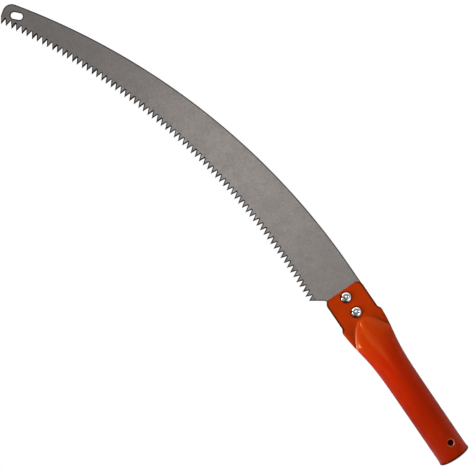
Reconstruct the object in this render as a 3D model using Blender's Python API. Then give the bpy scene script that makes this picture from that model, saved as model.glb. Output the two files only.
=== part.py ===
"""Curved pruning saw with a fixed blade.

A toothed steel blade is riveted between the flattened cheeks of a tube handle.
The origin is the centre of the socket mouth at the butt, +Z runs along the handle
towards the blade, the blade lies in the XZ plane and its teeth point towards -X.
"""

from math import atan2, cos, pi, radians, sin, sqrt, tan

import bmesh
import bpy
import numpy as np
from mathutils import Matrix, Vector
from mathutils.geometry import tessellate_polygon

MM = 0.001

# Fit between pieces
FIT_GAP = 0.3 * MM

# Handle: a steel tube, pressed flat at its front end
HANDLE_LENGTH = 175.2 * MM
TUBE_DIAMETER = 28.6 * MM
TUBE_WALL = 1.3 * MM
MOUTH_FLARE = 0.5 * MM
MOUTH_FLARE_LENGTH = 4.5 * MM
SCREW_HOLE_DIAMETER = 6.0 * MM
SCREW_HOLE_FROM_BUTT = 14.3 * MM
SCREW_HOLE_TURN = radians(12.7)

# Handle: where the round tube spreads and turns into flat cheeks
FLARE_MIDDLE_BELOW_APEX = 25.1 * MM
FLARE_LENGTH = 20.5 * MM
ARCH_NOSE_RADIUS = 8.2 * MM
ARCH_LEG_LENGTH = 22.0 * MM
BULGE_NOSE_RADIUS = 1.85 * MM
ARCH_TO_RIVET_HEAD = 2.8 * MM

# Handle: the cheeks, whose folded edges are cut away to let the blade in
CHEEK_LENGTH = 28.6 * MM
EDGE_TRIM = 2.65 * MM
STEP_LENGTH = 2.4 * MM
STEP_WIDTH = 1.7 * MM
CHEEK_CORNER_RADIUS = 6.0 * MM

# Rivets
RIVET_SHANK_DIAMETER = 5.0 * MM
RIVET_HEAD_DIAMETER = 9.1 * MM
RIVET_HEAD_HEIGHT = 2.2 * MM
RIVET_ROLL_HEIGHT = 1.6 * MM
RIVET_DIMPLE_DIAMETER = 4.7 * MM
RIVET_DIMPLE_DEPTH = 1.1 * MM
RIVET_FROM_FRONT = 6.9 * MM
RIVET_SPACING = 15.6 * MM

# Blade, with heights counted from the front edge of the handle
BLADE_THICKNESS = 1.3 * MM
BACK_RADIUS = 623.0 * MM
BACK_ARC_LENGTH = 389.6 * MM
BACK_ARC_START = 11.2 * MM
BACK_INSET = 0.25 * MM
HEEL_WIDTH = 48.1 * MM
HEEL_TOOTH_HEIGHT = 8.35 * MM
HEEL_TRIM = 1.2 * MM
HEEL_ANGLE = radians(34.4)
HEEL_FILLET_RADIUS = 4.5 * MM
TANG_INSET = 2.5 * MM
TANG_BELOW_RIVET = 7.0 * MM
TANG_CORNER_RADIUS = 5.0 * MM
TIP_WIDTH = 20.1 * MM
TIP_CORNER_RADIUS = 8.3 * MM
EDGE_CHAMFER = 0.25 * MM

# Teeth, filed at alternate bevels and set to alternate sides
TOOTH_LINE_RADIUS = 611.0 * MM
TOOTH_PITCH = 5.06 * MM
TOOTH_DEPTH = 6.4 * MM
TOOTH_SET = 0.45 * MM
TOOTH_BEVEL = radians(33.0)
TOOTH_RAKE = radians(7.0)
GULLET_WIDTH = 0.5 * MM

# Hanging slot near the tip
SLOT_LENGTH = 10.8 * MM
SLOT_WIDTH = 6.0 * MM
SLOT_FROM_END = 13.3 * MM
SLOT_SHIFT = 1.35 * MM
SLOT_TILT = radians(10.0)

# Mesh resolution
TUBE_SIDES = 56
MOUTH_RING_PITCH = 1.2 * MM
PLAIN_TUBE_RING_PITCH = 22.0 * MM
FLARE_RING_PITCH = 3.0 * MM
ARCH_RING_PITCH = 1.5 * MM
ROUND_SIDES = 24
ARC_POINTS = 11
CREASE_SHARPNESS = 10.0
TOP_BLEND_SHARPNESS = 12.0
SIDE_BLEND_SHARPNESS = 24.0

# Sizes that follow from the ones above
TUBE_RADIUS = TUBE_DIAMETER / 2
CHEEK_HALF_THICKNESS = BLADE_THICKNESS / 2 + FIT_GAP + TUBE_WALL
TUBE_GIRTH = pi * (TUBE_DIAMETER - TUBE_WALL)
FOLD_GIRTH = 2 * pi * (CHEEK_HALF_THICKNESS - TUBE_WALL / 2)
FLAT_HALF_WIDTH = (TUBE_GIRTH - FOLD_GIRTH) / 4 + CHEEK_HALF_THICKNESS
CHEEK_HALF_WIDTH = FLAT_HALF_WIDTH - EDGE_TRIM
FRONT_RIVET_Z = HANDLE_LENGTH - RIVET_FROM_FRONT
REAR_RIVET_Z = FRONT_RIVET_Z - RIVET_SPACING
ARCH_APEX_Z = REAR_RIVET_Z - RIVET_HEAD_DIAMETER / 2 - ARCH_TO_RIVET_HEAD
FLARE_MIDDLE_Z = ARCH_APEX_Z - FLARE_MIDDLE_BELOW_APEX
RIVET_HOLE_RADIUS = RIVET_SHANK_DIAMETER / 2 + FIT_GAP
CUT_MARGIN = TUBE_DIAMETER

FRONT, BACK = -1, 1


def clear_scene():
    for item in list(bpy.data.objects):
        bpy.data.objects.remove(item, do_unlink=True)


def material(name, colour, metallic, roughness):
    paint = bpy.data.materials.new(name)
    paint.use_nodes = True
    shader = paint.node_tree.nodes["Principled BSDF"]
    shader.inputs["Base Color"].default_value = (*colour, 1.0)
    shader.inputs["Metallic"].default_value = metallic
    shader.inputs["Roughness"].default_value = roughness
    return paint


def add_object(name, mesh, parent=None, location=(0, 0, 0)):
    item = bpy.data.objects.new(name, mesh)
    bpy.context.scene.collection.objects.link(item)
    item.parent = parent
    item.location = location
    return item


def finish_mesh(bm, name):
    """Turns the faces outwards and makes a mesh of them."""
    bmesh.ops.recalc_face_normals(bm, faces=bm.faces)
    mesh = bpy.data.meshes.new(name)
    bm.to_mesh(mesh)
    bm.free()
    return mesh


def smooth(mesh, angle):
    mesh.shade_smooth()
    mesh.set_sharp_from_angle(angle=angle)


def polar(centre, radius, angle):
    return centre + radius * np.array((cos(angle), sin(angle)))


def arc(centre, radius, start, end):
    """Points along an arc in the XZ plane, both ends included."""
    return [polar(centre, radius, angle) for angle in np.linspace(start, end, ARC_POINTS)]


def prism(name, outline, depth, parent):
    """A cutter: a closed outline in the XZ plane, extruded along Y to both sides."""
    bm = bmesh.new()
    face = bm.faces.new([bm.verts.new((x, -depth, z)) for x, z in outline])
    pushed = bmesh.ops.extrude_face_region(bm, geom=[face])["geom"]
    moved = [item for item in pushed if isinstance(item, bmesh.types.BMVert)]
    bmesh.ops.translate(bm, verts=moved, vec=(0, 2 * depth, 0))
    return hide_cutter(add_object(name, finish_mesh(bm, name), parent))


def hide_cutter(cutter):
    cutter.hide_render = True
    cutter.display_type = "WIRE"
    return cutter


def round_cutter(name, radius, length, parent, location, turn):
    """A drill along the turned Z axis, with no corner on the plane X = 0, where the tube has a seam."""
    bm = bmesh.new()
    half_facet = Matrix.Rotation(pi / ROUND_SIDES, 4, "Z")
    bmesh.ops.create_cone(bm, cap_ends=True, segments=ROUND_SIDES, radius1=radius, radius2=radius,
                          depth=length, matrix=turn @ half_facet)
    return hide_cutter(add_object(name, finish_mesh(bm, name), parent, location))


def boolean(item, cutter, operation="DIFFERENCE"):
    cut = item.modifiers.new(cutter.name, "BOOLEAN")
    cut.object = cutter
    cut.operation = operation


# Handle

def smaller_of(a, b, sharpness):
    """The smaller of two lengths, rounded over where they meet."""
    return (a ** -sharpness + b ** -sharpness) ** (-1 / sharpness)


def tube_half_width(z):
    """The tube spreads from its radius to its flattened half width along a tanh curve."""
    spread = 0.5 * (1 + np.tanh((z - FLARE_MIDDLE_Z) / FLARE_LENGTH))
    flare = max(0.0, 1 - z / MOUTH_FLARE_LENGTH) ** 2 * MOUTH_FLARE
    return TUBE_RADIUS + flare + (FLAT_HALF_WIDTH - TUBE_RADIUS) * spread


def bulge_half_size(z):
    """Half width and half height of the rounded tube where it dives under the flat cheeks.

    Its height follows a parabola and its width keeps to its height, so that the crease with
    the cheeks is a parabola too, which runs out into the sides of the tube.
    """
    depth = ARCH_APEX_Z - z
    height = sqrt(max(CHEEK_HALF_THICKNESS ** 2 + 2 * BULGE_NOSE_RADIUS * depth, 0.0))
    if height == 0:
        return 0.0, 0.0
    aspect = sqrt(ARCH_NOSE_RADIUS / BULGE_NOSE_RADIUS)
    full_height = TUBE_RADIUS + tube_half_width(z) - tube_half_width(max(z, MOUTH_FLARE_LENGTH))
    height = smaller_of(height, full_height, TOP_BLEND_SHARPNESS)
    return smaller_of(aspect * height, tube_half_width(z), SIDE_BLEND_SHARPNESS), height


def tube_section(z):
    """The outside of the tube at one height: the larger of a flat loop and the round bulge."""
    width = tube_half_width(z)
    turn = np.arange(TUBE_SIDES) * 2 * pi / TUBE_SIDES
    x = width * np.cos(turn)
    beyond = np.maximum(np.abs(x) - (width - CHEEK_HALF_THICKNESS), 0)
    loop = np.sqrt(np.maximum(CHEEK_HALF_THICKNESS ** 2 - beyond ** 2, 0))
    bulge_width, bulge_height = bulge_half_size(z)
    bulge = np.zeros(TUBE_SIDES)
    if bulge_width > 0:
        bulge = bulge_height * np.sqrt(np.maximum(1 - (x / bulge_width) ** 2, 0))
    y = (loop ** CREASE_SHARPNESS + bulge ** CREASE_SHARPNESS) ** (1 / CREASE_SHARPNESS)
    return np.column_stack((x, y * np.sign(np.round(np.sin(turn), 9))))


def inset(section, wall):
    """The section moved inwards by the wall, along its own normals."""
    along = np.roll(section, -1, axis=0) - np.roll(section, 1, axis=0)
    normal = np.column_stack((along[:, 1], -along[:, 0]))
    return section - wall * normal / np.linalg.norm(normal, axis=1, keepdims=True)


def ring_heights(coarseness):
    """Rings lie close together only where the tube changes shape, and run past the front edge."""
    flare_start = FLARE_MIDDLE_Z - 2 * FLARE_LENGTH
    bulge_end = ARCH_APEX_Z + CHEEK_HALF_THICKNESS ** 2 / (2 * BULGE_NOSE_RADIUS)
    stops = [
        (0.0, MOUTH_FLARE_LENGTH, MOUTH_RING_PITCH),
        (MOUTH_FLARE_LENGTH, flare_start, PLAIN_TUBE_RING_PITCH),
        (flare_start, ARCH_APEX_Z - ARCH_LEG_LENGTH, FLARE_RING_PITCH),
        (ARCH_APEX_Z - ARCH_LEG_LENGTH, bulge_end, ARCH_RING_PITCH),
    ]
    heights = []
    for start, end, pitch in stops:
        count = max(1, round((end - start) / (pitch * coarseness)))
        heights += list(np.linspace(start, end, count, endpoint=False))
    return heights + [bulge_end, HANDLE_LENGTH + TUBE_WALL]


def tube_mesh():
    """A loft of rings up the outside of the tube and, wider apart, down its inside."""
    bm = bmesh.new()
    walls = [(tube_section(z), z) for z in ring_heights(1)]
    walls += [(inset(tube_section(z), TUBE_WALL), z) for z in reversed(ring_heights(2))]
    rings = [[bm.verts.new((x, y, z)) for x, y in section] for section, z in walls]
    for lower, upper in zip(rings, rings[1:] + rings[:1]):
        for side in range(TUBE_SIDES):
            after = (side + 1) % TUBE_SIDES
            bm.faces.new((lower[side], lower[after], upper[after], upper[side]))
    return finish_mesh(bm, "handle")


def cheek_outline():
    """The silhouette that the flattened tube is cut to, with a step below the cheeks."""
    reach = FLAT_HALF_WIDTH + CUT_MARGIN
    step_top = HANDLE_LENGTH - CHEEK_LENGTH
    corner = np.array((CHEEK_HALF_WIDTH - CHEEK_CORNER_RADIUS, HANDLE_LENGTH - CHEEK_CORNER_RADIUS))
    step_foot = (CHEEK_HALF_WIDTH + 2 * STEP_WIDTH, step_top - 2 * STEP_LENGTH)
    right = [(reach, -CUT_MARGIN), (reach, step_foot[1]), step_foot, (CHEEK_HALF_WIDTH, step_top)]
    right += [tuple(point) for point in arc(corner, CHEEK_CORNER_RADIUS, 0, pi / 2)]
    return right + [(-x, z) for x, z in reversed(right)]


def make_handle(saw, rivet_cutters):
    handle = add_object("handle", tube_mesh(), saw)
    smooth(handle.data, radians(40))
    trim = prism("cheek_outline", cheek_outline(), CUT_MARGIN, saw)
    boolean(handle, trim, "INTERSECT")
    for cutter in rivet_cutters:
        boolean(handle, cutter)
    outwards = Matrix.Rotation(SCREW_HOLE_TURN, 4, "Z") @ Matrix.Rotation(pi / 2, 4, "X")
    drill = outwards @ Matrix.Translation((0, 0, TUBE_DIAMETER / 2))
    screw = round_cutter("screw_hole", SCREW_HOLE_DIAMETER / 2, TUBE_DIAMETER, saw,
                         (0, 0, SCREW_HOLE_FROM_BUTT), drill)
    boolean(handle, screw)
    handle.data.materials.append(material("orange_enamel", (0.76, 0.07, 0.008), 0.0, 0.28))


# Rivets

def rivet_profile():
    """Radius and Y of half a rivet, from the dimple of the rolled end to the top of the head."""
    seat = CHEEK_HALF_THICKNESS + FIT_GAP
    shank = RIVET_SHANK_DIAMETER / 2
    head = RIVET_HEAD_DIAMETER / 2
    dimple = RIVET_DIMPLE_DIAMETER / 2
    crest = (head + dimple) / 2
    turn = np.linspace(0, pi / 2, ARC_POINTS)
    top = -seat - RIVET_ROLL_HEIGHT
    profile = [(0.0, top + RIVET_DIMPLE_DEPTH)]
    profile += [(crest - (crest - dimple / 2) * cos(t), top + RIVET_DIMPLE_DEPTH * (1 - sin(t)))
                for t in turn]
    profile += [(crest + (head - crest) * sin(t), top + RIVET_ROLL_HEIGHT * (1 - cos(t)))
                for t in turn[1:]]
    profile += [(shank, -seat), (shank, seat)]
    profile += [(head * cos(t), seat + RIVET_HEAD_HEIGHT * sin(t)) for t in turn[:-1]]
    return profile + [(0.0, seat + RIVET_HEAD_HEIGHT)]


def rivet_mesh():
    bm = bmesh.new()
    points = [bm.verts.new((radius, y, 0)) for radius, y in rivet_profile()]
    edges = [bm.edges.new(pair) for pair in zip(points, points[1:])]
    bmesh.ops.spin(bm, geom=points + edges, cent=(0, 0, 0), axis=(0, 1, 0), angle=2 * pi, steps=ROUND_SIDES)
    bmesh.ops.remove_doubles(bm, verts=bm.verts, dist=0.001 * MM)
    return finish_mesh(bm, "rivet")


def make_rivets(saw):
    mesh = rivet_mesh()
    smooth(mesh, radians(40))
    mesh.materials.append(material("plated_steel", (0.78, 0.78, 0.80), 1.0, 0.22))
    across = Matrix.Rotation(pi / 2, 4, "X")
    cutters = []
    for name, z in (("front_rivet", FRONT_RIVET_Z), ("rear_rivet", REAR_RIVET_Z)):
        add_object(name, mesh, saw, (0, 0, z))
        hole = round_cutter(name + "_hole", RIVET_HOLE_RADIUS, 2 * CUT_MARGIN, saw, (0, 0, z), across)
        cutters.append(hole)
    return cutters


# Blade, drawn in X and in Z above the front edge of the handle

BACK_X = CHEEK_HALF_WIDTH - BACK_INSET
TANG_X = TANG_INSET - CHEEK_HALF_WIDTH
TANG_END = -RIVET_FROM_FRONT - RIVET_SPACING - TANG_BELOW_RIVET
BACK_CENTRE = np.array((BACK_X - BACK_RADIUS, BACK_ARC_START))
END_ANGLE = BACK_ARC_LENGTH / BACK_RADIUS
END_DIRECTION = np.array((cos(END_ANGLE), sin(END_ANGLE)))
FIRST_TIP = np.array((BACK_X - HEEL_WIDTH, HEEL_TOOTH_HEIGHT))
HEEL_TIP = FIRST_TIP + HEEL_TRIM * np.array((1, TOOTH_PITCH / TOOTH_DEPTH / 2))
END_POINT = BACK_CENTRE + (BACK_RADIUS - TIP_WIDTH) * END_DIRECTION
HEEL_DIRECTION = np.array((cos(HEEL_ANGLE), -sin(HEEL_ANGLE)))


def tooth_line_centre():
    """The centre of the arc along the tooth tips, from the heel to the end of the blade."""
    half = (END_POINT - FIRST_TIP) / 2
    length = np.hypot(*half)
    aside = np.array((-half[1], half[0])) / length
    return FIRST_TIP + half + aside * sqrt(TOOTH_LINE_RADIUS ** 2 - length ** 2)


def angle_about(centre, point):
    return atan2(point[1] - centre[1], point[0] - centre[0])


def reach_circle(start, direction, centre, radius):
    """Where a ray from a point inside a circle meets that circle."""
    offset = start - centre
    along = offset @ direction
    return start + direction * (sqrt(along ** 2 + radius ** 2 - offset @ offset) - along)


def back_point(angle):
    """A point of the back edge, which runs straight below the start of its arc."""
    if angle < 0:
        return np.array((BACK_X, BACK_ARC_START + BACK_RADIUS * angle))
    return polar(BACK_CENTRE, BACK_RADIUS, angle)


class ToothedEdge:
    """Vertices of the teeth and gullets on both faces of the blade, from the heel to the tip."""

    def __init__(self, bm):
        self.bm = bm
        self.centre = tooth_line_centre()
        self.start = angle_about(self.centre, FIRST_TIP)
        span = angle_about(self.centre, END_POINT) - self.start
        self.step = TOOTH_PITCH / TOOTH_LINE_RADIUS
        self.rake = TOOTH_DEPTH * tan(TOOTH_RAKE) / TOOTH_LINE_RADIUS
        room_past_last_tip = self.step / 2 - self.rake
        self.count = 1 + int((span - room_past_last_tip) / self.step)
        self.root_radius = TOOTH_LINE_RADIUS + TOOTH_DEPTH
        self.skew = BLADE_THICKNESS / 2 * tan(TOOTH_BEVEL) / self.root_radius
        self.roots = {side: self.root_line(side) for side in (FRONT, BACK)}
        self.tips = {side: [self.tip(index, side) for index in range(self.count)] for side in (FRONT, BACK)}

    def vertex(self, point, y):
        return self.bm.verts.new((point[0], y, point[1]))

    def set_side(self, tooth):
        return FRONT if tooth % 2 == 0 else BACK

    def root_line(self, side):
        """Heel root, both corners of every gullet floor, end root; bevels skew the gullets."""
        half_floor = GULLET_WIDTH / 2 / self.root_radius
        points = [reach_circle(HEEL_TIP, HEEL_DIRECTION, self.centre, self.root_radius)]
        for gullet in range(self.count - 1):
            lean = self.skew if self.set_side(gullet) == side else -self.skew
            middle = self.start + (gullet + 0.5) * self.step + self.rake + lean
            points += [polar(self.centre, self.root_radius, middle + shift)
                       for shift in (-half_floor, half_floor)]
        points.append(reach_circle(END_POINT, END_DIRECTION, self.centre, self.root_radius))
        return [self.vertex(point, side * BLADE_THICKNESS / 2) for point in points]

    def tip(self, tooth, side):
        """A tip reaches the tooth line on the side it is set to and falls short on the other.

        The heel trims the first tooth along its upper flank, and that tooth is not set.
        """
        y = side * BLADE_THICKNESS / 2
        if tooth == 0:
            return self.vertex(HEEL_TIP, y)
        wide = self.step / 2 - GULLET_WIDTH / 2 / self.root_radius + self.skew
        share = 1.0 if self.set_side(tooth) == side else (wide - 2 * self.skew) / wide
        height = share * TOOTH_DEPTH
        lean = (TOOTH_DEPTH - height) * tan(TOOTH_RAKE) / TOOTH_LINE_RADIUS
        point = polar(self.centre, self.root_radius - height, self.start + tooth * self.step + lean)
        return self.vertex(point, y + self.set_side(tooth) * share * TOOTH_SET)

    def add_faces(self):
        for tooth in range(self.count):
            left = [self.roots[side][2 * tooth] for side in (FRONT, BACK)]
            right = [self.roots[side][2 * tooth + 1] for side in (FRONT, BACK)]
            tips = [self.tips[side][tooth] for side in (FRONT, BACK)]
            for side in (0, 1):
                self.bm.faces.new((left[side], tips[side], right[side]))
            self.bm.faces.new((left[0], left[1], tips[1], tips[0]))
            self.bm.faces.new((right[0], right[1], tips[1], tips[0]))
            if tooth < self.count - 1:
                floor = [self.roots[side][2 * tooth + 2] for side in (FRONT, BACK)]
                self.bm.faces.new((right[0], right[1], floor[1], floor[0]))


def tip_corner():
    """Centre and start angle of the round corner between the back edge and the end."""
    lean = np.arcsin(TIP_CORNER_RADIUS / (BACK_RADIUS - TIP_CORNER_RADIUS))
    start = END_ANGLE - lean
    return polar(BACK_CENTRE, BACK_RADIUS - TIP_CORNER_RADIUS, start), start


def heel_fillet():
    """The fillet between the sloping heel and the straight edge of the tang."""
    fall = (TANG_X - HEEL_FILLET_RADIUS - HEEL_TIP[0]) / HEEL_DIRECTION[0]
    on_heel = HEEL_TIP + fall * HEEL_DIRECTION
    centre = np.array((on_heel[0], on_heel[1] - HEEL_FILLET_RADIUS / cos(HEEL_ANGLE)))
    return arc(centre, HEEL_FILLET_RADIUS, 0, pi / 2 - HEEL_ANGLE)


def tang_end():
    """The round-cornered lower end of the tang, from the back edge to the toothed side."""
    low = TANG_END + TANG_CORNER_RADIUS
    right = np.array((BACK_X - TANG_CORNER_RADIUS, low))
    left = np.array((TANG_X + TANG_CORNER_RADIUS, low))
    return arc(right, TANG_CORNER_RADIUS, 0, -pi / 2) + arc(left, TANG_CORNER_RADIUS, -pi / 2, -pi)


def rim_normals(points):
    """Outward directions along an open outline that runs clockwise seen from the front."""
    along = np.gradient(np.array(points), axis=0)
    aside = np.column_stack((-along[:, 1], along[:, 0]))
    return aside / np.linalg.norm(aside, axis=1, keepdims=True)


def fill_around(bm, outline, hole):
    """Fills a flat outline around a hole with triangles."""
    corners = outline + hole
    loops = [[Vector((v.co.x, v.co.z, 0)) for v in loop] for loop in (outline, hole)]
    for triangle in tessellate_polygon(loops):
        bm.faces.new([corners[number] for number in triangle])


def root_before(angles, limit):
    """The last root that lies before an angle about the centre of the back edge."""
    return max(index for index, angle in enumerate(angles) if angle < limit)


def blade_mesh():
    """Teeth, edges, and flat faces in strips as far as the hanging slot, which has a face around it."""
    bm = bmesh.new()
    teeth = ToothedEdge(bm)
    teeth.add_faces()

    corner, corner_start = tip_corner()
    roots = [np.array((v.co.x, v.co.z)) for v in teeth.roots[FRONT]]
    angles = [angle_about(BACK_CENTRE, point) for point in roots]
    slot_start = END_ANGLE - (SLOT_FROM_END + SLOT_LENGTH) / BACK_RADIUS
    first, below_slot, last = 1, root_before(angles, slot_start), root_before(angles, corner_start)
    end_part = arc(corner, TIP_CORNER_RADIUS, END_ANGLE + pi / 2, corner_start)
    back_part = [back_point(angle) for angle in reversed(angles[first:last + 1])]
    rim = end_part + back_part + tang_end() + heel_fillet()

    half = BLADE_THICKNESS / 2
    ends = {side: (teeth.roots[side][-1], teeth.roots[side][0]) for side in (FRONT, BACK)}
    normals = rim_normals(roots[-1:] + rim + roots[:1])[1:-1]
    slot = {side: [teeth.vertex(p, side * half) for p in slot_outline(teeth)] for side in (FRONT, BACK)}
    flats, edges = {}, {}
    for side in (FRONT, BACK):
        inner = [teeth.vertex(p - EDGE_CHAMFER * n, side * half) for p, n in zip(rim, normals)]
        outer = [teeth.vertex(p, side * (half - EDGE_CHAMFER)) for p in rim]
        flats[side] = [ends[side][0]] + inner + [ends[side][1]]
        edges[side] = [ends[side][0]] + outer + [ends[side][1]]
    for one, other in ((flats[FRONT], edges[FRONT]), (edges[FRONT], edges[BACK]), (edges[BACK], flats[BACK])):
        for index in range(len(one) - 1):
            corners = (one[index], one[index + 1], other[index + 1], other[index])
            bm.faces.new(list(dict.fromkeys(corners)))

    for side in (FRONT, BACK):
        line = teeth.roots[side]
        back = flats[side][1 + len(end_part):1 + len(end_part) + len(back_part)][::-1]
        for index in range(below_slot - first):
            root = first + index
            bm.faces.new((line[root], line[root + 1], back[index + 1], back[index]))
        end = line[below_slot:] + flats[side][1:1 + len(end_part)] + back[below_slot - first:][::-1]
        fill_around(bm, end, slot[side])
        bm.faces.new([back[0]] + flats[side][1 + len(end_part) + len(back_part):] + [line[first]])
    near, far = slot[FRONT], slot[BACK]
    for index in range(len(near)):
        bm.faces.new((near[index - 1], near[index], far[index], far[index - 1]))
    return finish_mesh(bm, "blade")


def slot_outline(teeth):
    """The hanging slot, between the back edge and the tooth roots, leaning towards the teeth."""
    angle = END_ANGLE - SLOT_FROM_END / BACK_RADIUS
    edge = back_point(angle)
    inwards = -np.array((cos(angle), sin(angle)))
    root = reach_circle(edge + inwards * TIP_WIDTH, -inwards, teeth.centre, teeth.root_radius)
    middle = (edge + root) / 2 + inwards * SLOT_SHIFT
    run = np.array((-sin(angle + SLOT_TILT), cos(angle + SLOT_TILT)))
    radius = SLOT_WIDTH / 2
    turn = angle + SLOT_TILT
    ends = [middle + run * sign * (SLOT_LENGTH / 2 - radius) for sign in (1, -1)]
    return arc(ends[0], radius, turn, turn + pi) + arc(ends[1], radius, turn + pi, turn + 2 * pi)


def make_blade(saw, rivet_cutters):
    blade = add_object("blade", blade_mesh(), saw, (0, 0, HANDLE_LENGTH))
    for cutter in rivet_cutters:
        boolean(blade, cutter)
    blade.data.materials.append(material("ground_steel", (0.42, 0.41, 0.39), 1.0, 0.38))


def main():
    clear_scene()
    saw = add_object("saw", None)
    rivet_cutters = make_rivets(saw)
    make_handle(saw, rivet_cutters)
    make_blade(saw, rivet_cutters)


main()
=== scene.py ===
"""Curved pruning saw, dressed: fine surfaces, finishes, studio light and camera.

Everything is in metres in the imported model's frame. The origin is the centre of the socket
mouth, +Z runs along the handle towards the blade, the blade lies in the XZ plane with its
teeth towards -X, and the side that the camera sees faces -Y.
"""

from math import atan2, cos, pi, radians, sin, sqrt, tan

import bmesh
import bpy
import numpy as np
from mathutils import Matrix, Vector
from mathutils.geometry import tessellate_polygon


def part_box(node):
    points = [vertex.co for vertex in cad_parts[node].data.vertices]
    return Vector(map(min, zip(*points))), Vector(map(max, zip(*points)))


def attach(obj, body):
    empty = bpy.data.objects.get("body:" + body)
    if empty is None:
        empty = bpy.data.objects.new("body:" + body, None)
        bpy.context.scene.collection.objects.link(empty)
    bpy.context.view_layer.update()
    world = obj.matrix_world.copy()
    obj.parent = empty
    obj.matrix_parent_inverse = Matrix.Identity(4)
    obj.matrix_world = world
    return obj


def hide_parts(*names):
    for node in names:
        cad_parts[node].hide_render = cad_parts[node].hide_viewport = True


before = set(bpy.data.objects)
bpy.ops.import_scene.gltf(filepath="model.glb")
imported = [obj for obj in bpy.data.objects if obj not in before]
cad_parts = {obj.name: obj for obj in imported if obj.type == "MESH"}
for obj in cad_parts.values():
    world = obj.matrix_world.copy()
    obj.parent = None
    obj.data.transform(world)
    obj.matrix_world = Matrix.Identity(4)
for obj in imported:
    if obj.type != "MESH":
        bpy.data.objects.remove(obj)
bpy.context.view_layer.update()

MM = 0.001

# Handle
HANDLE_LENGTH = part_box("handle")[1].z
TUBE_RADIUS = 14.3 * MM
TUBE_WALL = 1.3 * MM
MOUTH_FLARE = 0.5 * MM
MOUTH_FLARE_LENGTH = 4.5 * MM
SCREW_HOLE_RADIUS = 3.0 * MM
SCREW_HOLE_FROM_BUTT = 14.3 * MM
SCREW_HOLE_TURN = radians(12.7)
FLARE_MIDDLE_BELOW_APEX = 25.1 * MM
FLARE_LENGTH = 20.5 * MM
ARCH_NOSE_RADIUS = 8.2 * MM
BULGE_NOSE_RADIUS = 1.85 * MM
ARCH_TO_RIVET_HEAD = 2.8 * MM
CHEEK_LENGTH = 28.6 * MM
EDGE_TRIM = 2.65 * MM
STEP_LENGTH = 2.4 * MM
STEP_WIDTH = 1.7 * MM
CHEEK_CORNER_RADIUS = 6.0 * MM
CREASE_SHARPNESS = 10.0
TOP_BLEND_SHARPNESS = 12.0
SIDE_BLEND_SHARPNESS = 24.0
RIM_ROUND = 0.3 * MM
RIM_SQUARENESS = 0.6
RIM_FADE_ROWS = 5
HANDLE_SHARP_ANGLE = radians(50)
# Painted shade along the cut sides of the cheeks and the butt's rim
DARK_SIDE_WIDTH = 1.7 * MM
DARK_SIDE_STRENGTH = 1.6
# Painted shade beside the crease's legs, and a painted highlight along its left leg
CREASE_PAINTED_SHADE = 0.6
CREASE_PAINTED_SHADE_START = 0.6
CREASE_PAINTED_SHADE_WIDTH = 4.0 * MM
CREASE_PAINTED_HIGHLIGHT = 0.8
CREASE_LINE_WIDTH = 0.65 * MM

# Rivets
RIVET_SHANK_RADIUS = 2.5 * MM
RIVET_HEAD_RADIUS = 4.55 * MM
RIVET_HEAD_HEIGHT = 2.2 * MM
RIVET_ROLL_HEIGHT = 1.6 * MM
RIVET_DIMPLE_RADIUS = 2.35 * MM
RIVET_DIMPLE_DEPTH = 1.1 * MM
RIVET_PIN_RADIUS = 2.0 * MM
RIVET_PIN_DEPTH = 0.3 * MM
RIVET_FROM_FRONT = 6.9 * MM
RIVET_SPACING = 15.6 * MM
FIT_GAP = 0.3 * MM
RIVET_SHARP_ANGLE = radians(50)
GROOVE_SHADE = 0.9
# Amount, bearing and width in radians of each patch of painted shade
RIVET_SHADE_PATCHES = ((3.2, radians(225), 0.62), (2.2, radians(140), 0.22))

# Blade
BLADE_THICKNESS = 1.3 * MM
BACK_RADIUS = 623.0 * MM
BACK_ARC_LENGTH = 389.6 * MM
BACK_ARC_START = HANDLE_LENGTH + 11.2 * MM
BACK_INSET = 0.25 * MM
HEEL_WIDTH = 48.1 * MM
HEEL_TOOTH_Z = HANDLE_LENGTH + 8.35 * MM
HEEL_TRIM = 1.2 * MM
HEEL_ANGLE = radians(34.4)
HEEL_FILLET_RADIUS = 4.5 * MM
TANG_INSET = 2.5 * MM
TANG_BELOW_RIVET = 7.0 * MM
TANG_CORNER_RADIUS = 5.0 * MM
TIP_WIDTH = 20.1 * MM
TIP_CORNER_RADIUS = 8.3 * MM
EDGE_ROUND = 0.25 * MM
TOOTH_LINE_RADIUS = 611.0 * MM
TOOTH_PITCH = 5.06 * MM
TOOTH_DEPTH = 6.4 * MM
TOOTH_SET = 0.45 * MM
TOOTH_BEVEL = radians(33.0)
TOOTH_RAKE = radians(7.0)
GULLET_WIDTH = 0.5 * MM
SLOT_LENGTH = 10.8 * MM
SLOT_WIDTH = 6.0 * MM
SLOT_FROM_END = 13.3 * MM
SLOT_SHIFT = 1.35 * MM
SLOT_TILT = radians(10.0)
BLADE_SHARP_ANGLE = radians(20)
# Painted shade along the blade's edges and round its teeth
DARK_EDGE_WIDTH = 1.3 * MM
DARK_EDGE_SHADE = 0.9
# Towards the heel, towards the tip and along the gullet: teeth set to the side that is seen, then the others
DARK_FLANK_WIDTHS = np.array(((1.40, 1.20, 0.45), (0.45, 0.33, 0.40))) * MM
DARK_FLANK_SHARE = 0.65
DARK_FLANK_SHADE = 0.92

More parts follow.
